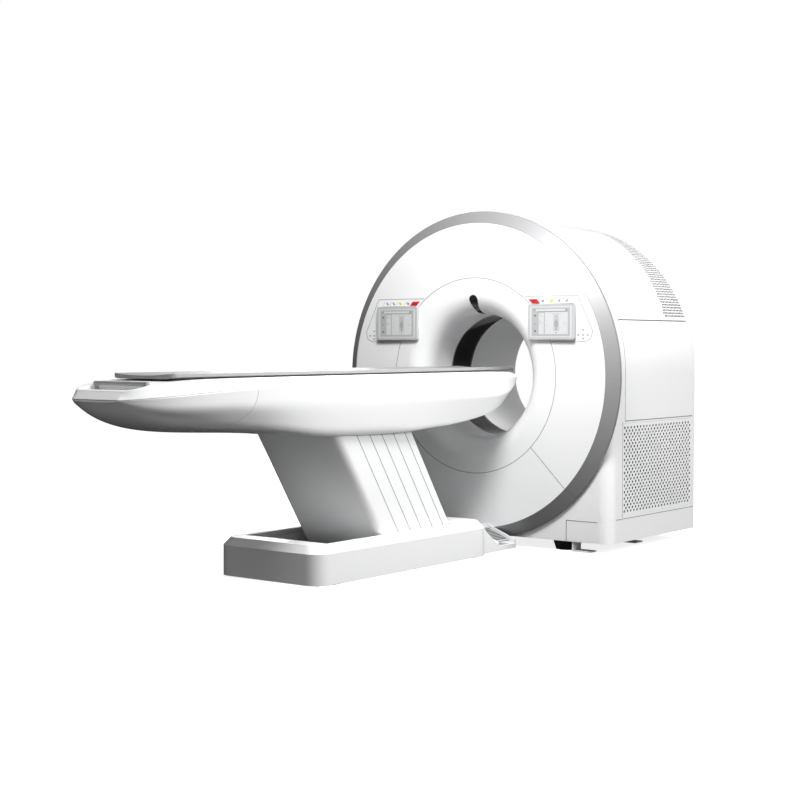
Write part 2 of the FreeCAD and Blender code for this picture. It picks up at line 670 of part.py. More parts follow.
def pedestal_cover(pivot, faces, half_w, ends, corner_r):
    """U-shaped cover: a plate across the pedestal at the first face, flanges back to the second."""
    c_face, c_open = faces
    a0, a1 = ends
    c0, c1 = sorted((c_face, c_open))
    outer = lean_block(pivot, a0, a1, c0, c1, -half_w, half_w)
    direction = 1.0 if c_face < c_open else -1.0
    face_point = lean_point(pivot, 0.0, c_face, 0.0)
    normal = V(0, COS, SIN)
    corners = [e for e in outer.Edges
               if e.Length > 0.9 * (a1 - a0)
               and abs((e.Vertexes[0].Point - face_point).dot(normal)) < 0.01]
    outer = outer.makeFillet(corner_r, corners)
    inner = lean_block(pivot, a0 - 5.0, a1 + 5.0, c_face + direction * PED_T, c_open + direction * 5.0,
                       PED_T - half_w, half_w - PED_T)
    inner_face = lean_point(pivot, 0.0, c_face + direction * PED_T, 0.0)
    inner_corners = [e for e in inner.Edges
                     if e.Length > 0.9 * (a1 - a0)
                     and abs((e.Vertexes[0].Point - inner_face).dot(normal)) < 0.01]
    inner = inner.makeFillet(corner_r - PED_T, inner_corners)
    return outer.cut(inner)


def slat_pivot(index):
    start = PED_REAR - REAR_COVER_D - index * SLAT_PITCH
    return start - SLAT_PITCH / 2.0


def slat_side(index, side):
    pivot = slat_pivot(index)
    x = PED_HALF_W - PED_T - 0.5 - index * SLAT_STEP
    half = SLAT_PITCH * COS / 2.0 + SLAT_LAP
    x0, x1 = sorted((side * (x - SLAT_T), side * x))
    plate = lean_block(pivot, -20.0, LINK + 20.0, -half, half, x0, x1)
    p0, p1 = sorted((side * (CHEEK_X0 + 2.0), side * (x - 1.0)))
    pins = [lean_pin(pivot, along, SLAT_PIN_R, p0, p1) for along in (0.0, LINK)]
    return fuse_all([plate] + pins)


def build_lift():
    rear_face = -(PED_REAR - REAR_PIVOT) * COS
    rear_open = rear_face + REAR_COVER_D * COS
    front_face = (FRONT_PIVOT - (PED_REAR - REAR_COVER_D - SLAT_COUNT * SLAT_PITCH - FRONT_COVER_D)) * COS
    front_open = front_face - FRONT_COVER_D * COS
    save("lift_arm_rear", lift_arm(REAR_PIVOT, -1.0, -rear_face - PED_T))
    save("lift_arm_front", lift_arm(FRONT_PIVOT, 1.0, front_face - PED_T))
    cover = pedestal_cover(REAR_PIVOT, (rear_face, rear_open), PED_HALF_W, (REAR_FOOT, LINK - REAR_TRIM),
                           PED_CORNER_R)
    save("pedestal_rear_cover", cover)
    inner_w = PED_HALF_W - PED_T - 0.5 - SLAT_COUNT * SLAT_STEP
    cover = pedestal_cover(FRONT_PIVOT, (front_face, front_open), inner_w, (FRONT_FOOT, LINK - FRONT_TRIM),
                           PED_FRONT_R)
    save("pedestal_front_cover", cover)
    for index in range(SLAT_COUNT):
        slats = [slat_side(index, side) for side in (-1.0, 1.0)]
        save("side_slats_%d" % (index + 1), Part.makeCompound(slats))


def cheek_holes(along, rear_gap):
    """Pivot holes through both cheeks, at the low pivots or at the high ones."""
    holes = []
    reach = CHEEK_X1 + 5.0
    holes.append(lean_pin(REAR_PIVOT, along, SHAFT_R + rear_gap, -reach, reach))
    holes.append(lean_pin(FRONT_PIVOT, along, SHAFT_R + RUN, -reach, reach))
    for index in range(SLAT_COUNT):
        for side in (-1.0, 1.0):
            x0, x1 = sorted((side * (CHEEK_X0 - 5.0), side * reach))
            holes.append(lean_pin(slat_pivot(index), along, SLAT_PIN_R + rear_gap, x0, x1))
    return holes


def cheeks(along, z0, z1):
    y0 = lean_point(REAR_PIVOT, along, 0.0, 0.0).y - CHEEK_REACH
    y1 = lean_point(FRONT_PIVOT, along, 0.0, 0.0).y + CHEEK_REACH
    return [block(-CHEEK_X1, -CHEEK_X0, y0, y1, z0, z1), block(CHEEK_X0, CHEEK_X1, y0, y1, z0, z1)]


# ---------------------------------------------------------------- table base
def rounded_rectangle(half_w, y0, y1, radius, z):
    k = radius * (1.0 - math.sqrt(0.5))
    corners = [(half_w, y0, 1, -1), (half_w, y1, 1, 1), (-half_w, y1, -1, 1), (-half_w, y0, -1, -1)]
    arcs = []
    for order, (x, y, sx, sy) in enumerate(corners):
        beside = V(x - sx * radius, y, z)
        along = V(x, y - sy * radius, z)
        middle = V(x - sx * k, y - sy * k, z)
        first, last = (beside, along) if order % 2 == 0 else (along, beside)
        arcs.append(Part.Arc(first, middle, last).toShape())
    edges = []
    for index, arc in enumerate(arcs):
        following = arcs[(index + 1) % 4]
        edges.append(arc)
        edges.append(Part.makeLine(arc.lastVertex(True).Point, following.firstVertex(True).Point))
    return Part.Wire(edges)


def base_form(inset, z0, top):
    half_w = BASE_HALF_W - inset
    y0, y1 = FRONT - BASE_Y0 + inset, FRONT - BASE_Y1 - inset
    radius = BASE_CORNER_R - inset
    shoulder = top - BASE_CHAMFER_H
    foot = rounded_rectangle(half_w, y0, y1, radius, z0)
    waist = rounded_rectangle(half_w, y0, y1, radius, shoulder)
    shrink = BASE_CHAMFER
    crown = rounded_rectangle(half_w - shrink, y0 + shrink, y1 - shrink, radius, top)
    lower = Part.makeLoft([foot, waist], True, True)
    upper = Part.makeLoft([waist, crown], True, True)
    return lower.fuse(upper)


def build_base():
    well = block(-WELL_HALF_W, WELL_HALF_W, FRONT - WELL_Y0, FRONT - WELL_Y1, BASE_H - WELL_DEPTH, BASE_H + 10.0)
    shell = base_form(0.0, BASE_Z0, BASE_H).cut(base_form(BASE_T, BASE_Z0 - 5.0, BASE_H - BASE_T)).cut(well)
    drop = [(FRONT - WELL_Y0 - 1.0, BASE_H - BASE_T), (FRONT - WELL_Y0 - 1.0, BASE_H - 0.5),
            (FRONT - DECK_LOW_Y, DECK_LOW_Z + BASE_T), (FRONT - DECK_LOW_Y, DECK_LOW_Z)]
    deck = prism_x(drop, -WELL_HALF_W - 1.0, WELL_HALF_W + 1.0)
    save("base_shell", fuse_all([shell, deck]))
    inset = BASE_T + SEAT
    half_w = BASE_HALF_W - inset
    plate = block(PLATE_INSET - half_w, half_w - PLATE_INSET, FRONT - BASE_Y0 + PLATE_INSET,
                  FRONT - BASE_Y1 - PLATE_INSET, 0.0, FLOOR_PLATE_T)
    tabs = [block(-half_w, half_w, FRONT - d - TAB_HALF_L, FRONT - d + TAB_HALF_L, 0.0, FLOOR_PLATE_T)
            for d in (BASE_Y0 - TAB_REACH, BASE_Y1 + TAB_REACH)]
    body = fuse_all([plate] + tabs + cheeks(0.0, FLOOR_PLATE_T - 1.0, PIVOT_LOW_Z + CHEEK_RISE))
    for hole in cheek_holes(0.0, RUN):
        body = body.cut(hole)
    centre = FRONT - (BASE_Y0 + BASE_Y1) / 2.0
    for x in (-BASE_HOLE_X, BASE_HOLE_X):
        for y in (centre - BASE_HOLE_Y / 2.0, centre + BASE_HOLE_Y / 2.0):
            body = body.cut(rod(BASE_HOLE_R, V(x, y, -1.0), V(x, y, FLOOR_PLATE_T + 1.0)))
    save("base_plate", body)
    motor_y = FRONT - FRONT_PIVOT
    save("lift_gearmotor", block(-MOTOR_HALF_W, MOTOR_HALF_W, motor_y - MOTOR_Y0, motor_y - MOTOR_Y1,
                                 FLOOR_PLATE_T, MOTOR_TOP))


def pedal_outline():
    (x0, z0), (x1, z1) = PEDAL_IN, PEDAL_OUT
    return [(x0, z0), (x1, z1), (x1, z1 - PEDAL_T), (x0, z0 - PEDAL_T)]


def pedal_axis():
    return PEDAL_IN[0] + 5.0, PEDAL_IN[1] - 5.0


def build_pedals():
    y_ramp = FRONT - PEDAL_Y0 - WALL_T
    y_back = FRONT - UNIT_Y1
    start = FRONT - BASE_Y1 + SEAT
    wall = mirrored([(UNIT_HALF_W, BASE_Z0), (UNIT_HALF_W, UNIT_FLOOR + 20.0), (RIDGE_HALF_W, RIDGE_Z)])
    ridge = mirrored([(RIDGE_HALF_W, BASE_Z0), (RIDGE_HALF_W, RIDGE_Z)])
    ramp = [(start, BASE_Z0), (start, BASE_H - BASE_CHAMFER_H - 5.0), (start + 20.0, RIDGE_Z),
            (y_ramp, UNIT_FLOOR + 12.0), (y_ramp, BASE_Z0)]
    floor = block(-UNIT_HALF_W, UNIT_HALF_W, start, y_back, BASE_Z0, UNIT_FLOOR)
    unit = fuse_all([floor, prism_x(ramp, -UNIT_HALF_W, UNIT_HALF_W), prism_y(ridge, start, y_back),
                     prism_y(wall, y_ramp, y_ramp + WALL_T), prism_y(wall, y_back - WALL_T, y_back)])
    duct = block(-RIDGE_HALF_W + 6.0, RIDGE_HALF_W - 6.0, start - 5.0, y_back - WALL_T, 0.0, RIDGE_Z - 6.0)
    pin_x, pin_z = pedal_axis()
    y0 = FRONT - PEDAL_Y0 + 1.0
    y1 = FRONT - PEDAL_Y1 - 1.0
    pin = rod(PEDAL_PIN_R, V(pin_x, y0 - 8.0, pin_z), V(pin_x, y1 + 20.0, pin_z))
    socket = rod(PEDAL_PIN_R + RUN, V(pin_x, y0 - 8.3, pin_z), V(pin_x, y1 + 20.3, pin_z))
    save("pedal_unit", unit.cut(duct).cut(socket).cut(flip_x(socket)))
    knuckle = rod(2.0 * PEDAL_PIN_R, V(pin_x, y0, pin_z), V(pin_x, y1, pin_z))
    pedal = fuse_all([prism_y(pedal_outline(), y0, y1), knuckle, pin])
    pair("foot_pedal", pedal)


# ---------------------------------------------------------------- table top
def hull_loft(shrink, lift, start, end):
    wires = []
    for index, (d, hw, zs, cw, zc, bw, zb, tw, zt) in enumerate(STATIONS):
        if index == 0:
            d -= start
        if index == len(STATIONS) - 1:
            d += end
        right = [(hw - shrink, zs + lift), (cw - shrink, zc), (bw - 0.7 * shrink, zb + shrink)]
        if lift:
            zc_in = max(zc, zb + 1.5 * shrink)
            right[1] = (cw - shrink, min(zc_in, zs))
        ordered = [(x, z) for x, z in mirrored(right)]
        wires.append(Part.makePolygon([V(x, FRONT - d, z) for x, z in ordered + ordered[:1]]))
    return Part.makeLoft(wires, True, True)


def deck_loft(shrink, drop, start, end):
    wires = []
    for index, (d, hw, zs, cw, zc, bw, zb, tw, zt) in enumerate(STATIONS):
        if index == 0:
            d -= start
        if index == len(STATIONS) - 1:
            d += end
        ordered = mirrored([(hw - shrink, zs + PANEL_GAP - drop), (tw - shrink, zt - shrink)])
        wires.append(Part.makePolygon([V(x, FRONT - d, z) for x, z in ordered + ordered[:1]]))
    return Part.makeLoft(wires, True, True)


def build_hull():
    outer = hull_loft(0.0, 0.0, 0.0, 0.0)
    inner = hull_loft(HULL_T, 12.0, HULL_T, HULL_T)
    shell = outer.cut(inner)
    rear = lean_point(PED_REAR, (HULL_FLOOR_Z - PIVOT_LOW_Z) / COS, 0.0, 0.0).y - HULL_MARGIN
    front = rear + REAR_COVER_D + SLAT_COUNT * SLAT_PITCH + FRONT_COVER_D + HULL_SWEEP
    half_w = PED_HALF_W + HULL_SIDE_GAP
    opening = block(-half_w, half_w, rear, front, HULL_FLOOR_Z - 100.0, HULL_FLOOR_Z + 150.0)
    y_seam = FRONT - TAIL_SEAM_Y
    big = 2000.0
    save("hull_tail", shell.common(block(-big, big, -2 * big, y_seam - PANEL_GAP / 2.0, 0.0, big)))
    body = shell.common(block(-big, big, y_seam + PANEL_GAP / 2.0, big, 0.0, big))
    save("hull_body", body.cut(opening))
    deck_outer = deck_loft(0.0, 0.0, 0.0, 0.0)
    deck = deck_outer.cut(deck_loft(HULL_T, 20.0, HULL_T, HULL_T + 20.0))
    tray_outer = block(-POCKET_HALF_W, POCKET_HALF_W, FRONT - POCKET_Y0, FRONT - POCKET_Y1, POCKET_Z - HULL_T,
                       2000.0)
    tray_inner = block(HULL_T - POCKET_HALF_W, POCKET_HALF_W - HULL_T, FRONT - POCKET_Y0 + HULL_T,
                       FRONT - POCKET_Y1 - HULL_T, POCKET_Z, 2000.0)
    deck = deck.fuse(deck_outer.common(tray_outer)).cut(tray_inner)
    save("top_deck", deck)
    grip = [rod(HANDLE_R, V(-HANDLE_HALF_W, FRONT - HANDLE_Y, HANDLE_Z), V(HANDLE_HALF_W, FRONT - HANDLE_Y,
                                                                           HANDLE_Z))]
    for side in (-1.0, 1.0):
        x = side * (HANDLE_HALF_W - 1.2 * HANDLE_R)
        grip.append(rod(HANDLE_R, V(x, FRONT - HANDLE_Y, POCKET_Z), V(x, FRONT - HANDLE_Y, HANDLE_Z)))
    save("tail_handle", fuse_all(grip))


def build_table_frame():
    z0, z1 = RAIL_Z0, RAIL_Z1
    parts = cheeks(LINK, PIVOT_HIGH_Z - CHEEK_RISE, z0 + 1.0)
    for side in (-1.0, 1.0):
        x0, x1 = sorted((side * CHEEK_X0, side * CHEEK_X1))
        parts.append(block(x0, x1, FRONT - RAIL_TAIL, FRONT - RAIL_HEAD, z0, z1))
    for y in [FRONT - d for d in BEARERS]:
        parts.append(block(-BEARER_X, BEARER_X, y, y + BEARER_W, z0 + BEARER_RISE, z1))
    frame = fuse_all(parts)
    for hole in cheek_holes(LINK, OPEN_PIVOT_GAP):
        frame = frame.cut(hole)
    save("table_frame", frame)


def build_cradle():
    half_w = CRADLE_HALF_W
    z0, z1 = CRADLE_Z, CRADLE_Z + CRADLE_T
    y0, y1 = FRONT - CRADLE_TAIL, FRONT + CRADLE_TIP
    low_r, low_l = V(half_w - 40.0, y0, z0), V(40.0 - half_w, y0, z0)
    side_r, side_l = V(half_w, y0, z0 + 9.0), V(-half_w, y0, z0 + 9.0)
    edge_r, edge_l = V(half_w, y0, z1 - 3.0), V(-half_w, y0, z1 - 3.0)
    lip_r, lip_l = V(half_w - 8.0, y0, z1), V(8.0 - half_w, y0, z1)
    dish = V(0, y0, z1 - CRADLE_DISH)
    edges = [Part.makeLine(low_l, low_r), Part.makeLine(low_r, side_r), Part.makeLine(side_r, edge_r),
             Part.makeLine(edge_r, lip_r), Part.Arc(lip_r, dish, lip_l).toShape(),
             Part.makeLine(lip_l, edge_l), Part.makeLine(edge_l, side_l), Part.makeLine(side_l, low_l)]
    slab = Part.Face(Part.Wire(edges)).extrude(V(0, y1 - y0, 0))
    corners = [e for e in slab.Edges if e.Length < CRADLE_T and abs(e.Vertexes[0].X) > half_w - 1.0
               and abs(e.Vertexes[1].X) > half_w - 1.0 and abs(e.Vertexes[0].Z - e.Vertexes[1].Z) > 5.0]
    slab = slab.makeFillet(30.0, corners) if corners else slab
    socket_z = (z0 + z1 - CRADLE_DISH) / 2.0
    for x in (-SOCKET_X, SOCKET_X):
        slab = slab.cut(rod(SOCKET_R, V(x, y1 - SOCKET_LEN, socket_z), V(x, y1 + 1.0, socket_z)))
    save("cradle", slab)


build_front()
build_displays()
build_funnel()
build_bore()
build_body()
build_grilles()
build_rear()
build_frames()
build_bearing()
build_rotor()
build_lift()
build_base()
build_pedals()
build_hull()
build_table_frame()
build_cradle()
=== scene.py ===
import bpy
import bmesh
import math
from mathutils import Matrix, Vector


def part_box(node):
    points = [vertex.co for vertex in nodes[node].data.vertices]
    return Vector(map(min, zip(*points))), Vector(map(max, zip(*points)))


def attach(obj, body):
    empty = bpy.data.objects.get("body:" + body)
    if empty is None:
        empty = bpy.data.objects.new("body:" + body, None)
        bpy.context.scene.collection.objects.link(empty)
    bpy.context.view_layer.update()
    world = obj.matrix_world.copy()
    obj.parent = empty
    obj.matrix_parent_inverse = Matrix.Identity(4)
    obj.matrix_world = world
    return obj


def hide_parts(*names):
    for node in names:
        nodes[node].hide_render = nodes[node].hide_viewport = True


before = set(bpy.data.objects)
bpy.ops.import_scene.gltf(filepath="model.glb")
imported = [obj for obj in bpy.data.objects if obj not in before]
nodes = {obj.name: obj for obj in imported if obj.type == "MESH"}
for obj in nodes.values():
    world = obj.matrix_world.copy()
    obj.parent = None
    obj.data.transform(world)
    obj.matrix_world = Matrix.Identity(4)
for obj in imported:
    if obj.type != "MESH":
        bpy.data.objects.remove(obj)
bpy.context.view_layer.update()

# Studio: a pale floor that runs out of sight, a sky that is brightest above and on the doors' side,
# and soft lights over the table, from the doors' side, over and below the tail, and from behind.
floor_mesh = bpy.data.meshes.new("studio_floor")
studio = bmesh.new()
bmesh.ops.create_grid(studio, x_segments=2, y_segments=2, size=80.0)
studio.to_mesh(floor_mesh)
studio.free()
floor = bpy.data.objects.new("studio_floor", floor_mesh)
bpy.context.scene.collection.objects.link(floor)
floor_paint = bpy.data.materials.new("floor_paint")
floor_paint.use_nodes = True
floor_shader = floor_paint.node_tree.nodes["Principled BSDF"]
floor_shader.inputs["Base Color"].default_value = (0.62, 0.62, 0.62, 1.0)
floor_shader.inputs["Roughness"].default_value = 0.9
floor_shader.inputs["Emission Color"].default_value = (1.0, 1.0, 1.0, 1.0)
floor_shader.inputs["Emission Strength"].default_value = 0.82
floor_mesh.materials.append(floor_paint)
floor.visible_diffuse = False
floor.visible_glossy = False

sky = bpy.data.worlds.new("studio_sky")
sky.use_nodes = True
sky_tree = sky.node_tree
direction = sky_tree.nodes.new("ShaderNodeTexCoord")
height = sky_tree.nodes.new("ShaderNodeSeparateXYZ")
sky_tree.links.new(direction.outputs["Generated"], height.inputs["Vector"])


def sky_ramp(axis, low, high, darkest, brightest):
    """Brightness of the sky, from darkest to brightest along one axis."""
    ramp = sky_tree.nodes.new("ShaderNodeMapRange")
    ramp.inputs["From Min"].default_value = low
    ramp.inputs["From Max"].default_value = high
    ramp.inputs["To Min"].default_value = darkest
    ramp.inputs["To Max"].default_value = brightest
    sky_tree.links.new(height.outputs[axis], ramp.inputs["Value"])
    return ramp.outputs["Result"]


def sky_product(first, second):
    """Two brightnesses multiplied."""
    product = sky_tree.nodes.new("ShaderNodeMath")
    product.operation = "MULTIPLY"
    sky_tree.links.new(first, product.inputs[0])
    sky_tree.links.new(second, product.inputs[1])
    return product.outputs["Value"]


upwards = sky_ramp("Z", -0.3, 0.7, 0.05, 0.8)
sideways = sky_ramp("X", -0.8, 0.8, 0.2, 1.0)
endways = sky_ramp("Y", -0.9, 0.1, 0.45, 1.0)
lit = sky_product(upwards, sky_product(sideways, endways))
seen = sky_tree.nodes.new("ShaderNodeLightPath")
level = sky_tree.nodes.new("ShaderNodeMix")
level.inputs["B"].default_value = 1.0
sky_tree.links.new(seen.outputs["Is Camera Ray"], level.inputs["Factor"])
sky_tree.links.new(lit, level.inputs["A"])
sky_tree.links.new(level.outputs["Result"], sky_tree.nodes["Background"].inputs["Strength"])
sky_tree.nodes["Background"].inputs["Color"].default_value = (1.0, 1.0, 1.0, 1.0)
bpy.context.scene.world = sky
bpy.context.scene.view_settings.view_transform = "Standard"


def softbox(name, place, target, width, height, power):
    lamp = bpy.data.lights.new(name, "AREA")
    lamp.shape = "RECTANGLE"
    lamp.size = width
    lamp.size_y = height
    lamp.energy = power
    holder = bpy.data.objects.new(name, lamp)
    holder.location = place
    holder.rotation_euler = (Vector(target) - Vector(place)).to_track_quat("-Z", "Y").to_euler()
    bpy.context.scene.collection.objects.link(holder)


softbox("light_over_table", (1.2, -2.2, 3.4), (0.1, 0.0, 0.9), 1.2, 1.0, 150.0)
softbox("light_from_side", (6.0, 0.2, 3.0), (0.6, -0.6, 0.7), 3.0, 3.0, 250.0)
softbox("light_over_tail", (-0.4, -6.5, 4.6), (0.0, -2.6, 0.9), 2.5, 2.5, 20.0)
softbox("light_low_at_tail", (1.3, -5.0, 0.5), (0.0, -3.0, 0.85), 1.0, 0.6, 7.0)
softbox("light_from_behind", (-5.0, 5.0, 3.6), (-0.4, 0.3, 0.9), 3.0, 3.0, 300.0)

lens_view = bpy.data.cameras.new("camera")
lens_view.sensor_width = 36.0
lens_view.lens = 68.05
lens_view.shift_x = -0.0203
camera = bpy.data.objects.new("camera", lens_view)
camera.location = (5.085, -7.525, 1.166)
camera.rotation_euler = (math.radians(87.86), 0.0, math.radians(37.582))
bpy.context.scene.collection.objects.link(camera)
bpy.context.scene.camera = camera


# Gantry base frame and bearing plate: welded box beams in a pale powder coat and thick plate under a
# grey primer, bolted to the floor through the tabs at each side.
def finish(name, colour, second, roughness, metallic=0.0, scale=6.0, grain=900.0, bump=0.02, coat=0.0):
    """Two close tones in soft patches, a slightly uneven gloss and a fine surface grain."""
    material = bpy.data.materials.new(name)
    material.use_nodes = True
    tree = material.node_tree
    shader = tree.nodes["Principled BSDF"]
    place = tree.nodes.new("ShaderNodeTexCoord")
    patches = tree.nodes.new("ShaderNodeTexNoise")
    patches.inputs["Scale"].default_value = scale
    patches.inputs["Detail"].default_value = 3.0
    tree.links.new(place.outputs["Object"], patches.inputs["Vector"])
    tones = tree.nodes.new("ShaderNodeMix")
    tones.data_type = "RGBA"
    tones.inputs["A"].default_value = (*colour, 1.0)
    tones.inputs["B"].default_value = (*second, 1.0)
    tree.links.new(patches.outputs["Fac"], tones.inputs["Factor"])
    tree.links.new(tones.outputs["Result"], shader.inputs["Base Color"])
    gloss = tree.nodes.new("ShaderNodeMapRange")
    gloss.inputs["From Min"].default_value = 0.3
    gloss.inputs["From Max"].default_value = 0.7
    gloss.inputs["To Min"].default_value = roughness * 0.9
    gloss.inputs["To Max"].default_value = roughness * 1.12
    tree.links.new(patches.outputs["Fac"], gloss.inputs["Value"])
    tree.links.new(gloss.outputs["Result"], shader.inputs["Roughness"])
    shader.inputs["Metallic"].default_value = metallic
    shader.inputs["Coat Weight"].default_value = coat
    shader.inputs["Coat Roughness"].default_value = 0.12
    if bump > 0.0:
        peel = tree.nodes.new("ShaderNodeTexNoise")
        peel.inputs["Scale"].default_value = grain
        peel.inputs["Detail"].default_value = 2.0
        tree.links.new(place.outputs["Object"], peel.inputs["Vector"])
        relief = tree.nodes.new("ShaderNodeBump")
        relief.inputs["Strength"].default_value = bump
        relief.inputs["Distance"].default_value = 0.0005
        tree.links.new(peel.outputs["Fac"], relief.inputs["Height"])
        tree.links.new(relief.outputs["Normal"], shader.inputs["Normal"])
    return material


def dress(material, *names):
    """Give CAD nodes this finish in every slot they have."""
    for name in names:
        if not nodes[name].material_slots:
            nodes[name].data.materials.append(material)
        for place in nodes[name].material_slots:
            place.material = material


primer = finish("grey_primer", (0.17, 0.18, 0.2), (0.2, 0.21, 0.23), 0.5, scale=3.0, bump=0.15)
dress(primer, "stationary_frame")
coat_grey = finish("pale_powder_coat", (0.88, 0.882, 0.885), (0.85, 0.853, 0.857), 0.42, scale=3.0,
                   bump=0.12)
dress(coat_grey, "base_frame")

# Levelling feet: moulded rubber pads on threaded steel stems, one under each corner.
rubber = finish("foot_rubber", (0.012, 0.012, 0.012), (0.02, 0.02, 0.02), 0.6, bump=0.3)
dress(rubber, "levelling_feet")

# Main bearing: hardened steel races, ground on the running faces.
steel = finish("machined_steel", (0.55, 0.56, 0.58), (0.5, 0.51, 0.53), 0.3, metallic=1.0, bump=0.1)
dress(steel, "bearing_outer_race", "bearing_inner_race")

# Rotor: a turned alloy drum with the tube, collimator, generator and detector arc bolted inside,
# and the copper slip ring and drive winding at its back.
alloy = finish("machined_alloy", (0.7, 0.71, 0.73), (0.64, 0.65, 0.68), 0.34, metallic=1.0, bump=0.1)
dress(alloy, "rotor_drum")
tube_paint = finish("tube_housing_paint", (0.62, 0.6, 0.5), (0.57, 0.55, 0.46), 0.4, bump=0.12)
dress(tube_paint, "x_ray_tube", "generator")
black = finish("black_moulding", (0.02, 0.02, 0.022), (0.03, 0.03, 0.032), 0.5, bump=0.2)
dress(black, "brush_block", "collimator", "detector_arc")
copper = finish("wound_copper", (0.62, 0.3, 0.16), (0.55, 0.25, 0.12), 0.35, metallic=1.0, bump=0.2)
dress(copper, "drive_stator", "slip_ring")

# Body covers: thick vacuum-formed and painted white mouldings over the frame, closed at the back
# by one flat sheet.
white = finish("moulded_white", (0.86, 0.862, 0.866), (0.845, 0.848, 0.853), 0.34, scale=1.4, grain=1400.0,
               bump=0.03)
dress(white, "access_panels", "plinth_cover", "side_cover_right", "side_cover_left", "top_cover",
      "side_door_right", "side_door_left", "rear_cover")


def add_piece(name, form, material, body, smooth=35.0):
    """Close a bmesh into a named piece with one finish that rides on a body."""
    mesh = bpy.data.meshes.new(name)
    form.to_mesh(mesh)
    form.free()
    mesh.materials.append(material)
    mesh.shade_smooth()
    mesh.set_sharp_from_angle(angle=math.radians(smooth))
    piece = bpy.data.objects.new(name, mesh)
    bpy.context.scene.collection.objects.link(piece)
    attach(piece, body)
    return piece


def round_edges(form, edges, radius, segments):
    """Round the given edges of a bmesh."""
    bmesh.ops.bevel(form, geom=edges, offset=radius, segments=segments, affect="EDGES", profile=0.5,
                    material=-1)


def add_block(form, low, high, edge=0.0, segments=2):
    """A box between two corners, with its edges rounded."""
    size = Vector(high) - Vector(low)
    centre = (Vector(high) + Vector(low)) / 2.0
    made = bmesh.ops.create_cube(form, size=1.0)
    bmesh.ops.scale(form, vec=size, verts=made["verts"])
    bmesh.ops.translate(form, vec=centre, verts=made["verts"])
    if edge > 0.0:
        round_edges(form, list({e for v in made["verts"] for e in v.link_edges}), edge, segments)


def add_strip(form, start, end, width, depth, facing):
    """A flat bead from one point to another, standing on a surface that faces a given way."""
    along = Vector(end) - Vector(start)
    facing = Vector(facing).normalized()
    across = along.normalized().cross(facing)
    made = bmesh.ops.create_cube(form, size=1.0)
    turn = Matrix((along, across * width, facing * depth)).transposed().to_4x4()
    turn.translation = (Vector(start) + Vector(end)) / 2.0 + facing * depth / 2.0
    bmesh.ops.transform(form, matrix=turn, verts=made["verts"])


def settle(piece):
    """Apply a piece's modifiers to its mesh."""
    done = bpy.data.meshes.new_from_object(piece.evaluated_get(bpy.context.evaluated_depsgraph_get()))
    piece.modifiers.clear()
    piece.data = done


def cut(piece, cutter):
    """Take the cutter's volume out of a piece, then throw the cutter away."""
    knife = bpy.data.meshes.new("cutter")
    cutter.to_mesh(knife)
    cutter.free()
    tool = bpy.data.objects.new("cutter", knife)
    bpy.context.scene.collection.objects.link(tool)
    tool.hide_render = True
    change = piece.modifiers.new("cut", "BOOLEAN")
    change.operation = "DIFFERENCE"
    change.solver = "EXACT"
    change.object = tool
    bpy.context.view_layer.update()
    settle(piece)
    bpy.data.objects.remove(tool)


# Seals: thin grey rubber beads in the joints of the body covers, round the doors and along the
# plinth, pressed in by hand.
seal_grey = finish("seal_rubber", (0.16, 0.162, 0.166), (0.13, 0.132, 0.136), 0.6, bump=0.1)
half_w, arch_z = 0.875, 1.015
door_front, door_rear, door_low, door_top = -0.146, 0.656, 0.7335, 1.3
plinth_top, joint_front, joint_low, joint_top = 0.188, -0.172, 0.196, 0.729
arch_steps = 5
forwards = (0.0, -1.0, 0.0)
seals = bmesh.new()
for side in (-1.0, 1.0):
    flank = side * half_w
    outward = (side, 0.0, 0.0)
    lean = math.asin((door_top - arch_z) / half_w)
    edge_x = side * half_w * math.cos(lean)
    add_strip(seals, (edge_x, door_front, door_top), (edge_x, door_rear, door_top), 0.0055, 0.0008,
              (side * math.cos(lean), 0.0, math.sin(lean)))
    add_strip(seals, (flank, door_front, door_low), (flank, door_rear, door_low), 0.0035, 0.0005, outward)
    add_strip(seals, (flank, door_front, door_low), (flank, door_front, arch_z), 0.003, 0.0005, outward)
    for step in range(arch_steps):
        first, last = lean * step / arch_steps, lean * (step + 1) / arch_steps
        middle = (first + last) / 2.0
        add_strip(seals, (side * half_w * math.cos(first), door_front, arch_z + half_w * math.sin(first)),
                  (side * half_w * math.cos(last), door_front, arch_z + half_w * math.sin(last)),
                  0.003, 0.0005, (side * math.cos(middle), 0.0, math.sin(middle)))
    add_strip(seals, (flank, -0.24, plinth_top), (flank, 0.67, plinth_top), 0.003, 0.0005, outward)
    add_strip(seals, (flank, joint_front, joint_low), (flank, joint_front, joint_top),
              0.003, 0.0005, outward)
    low, high = (side * 0.598, -0.3155, 0.062), (side * 0.798, -0.3155, 0.176)
    corner = (low[0], low[1], high[2])
    for start, end in ((low, corner), (corner, high)):
        add_strip(seals, start, end, 0.003, 0.0005, forwards)
add_piece("body_seals", seals, seal_grey, "gantry_and_base")
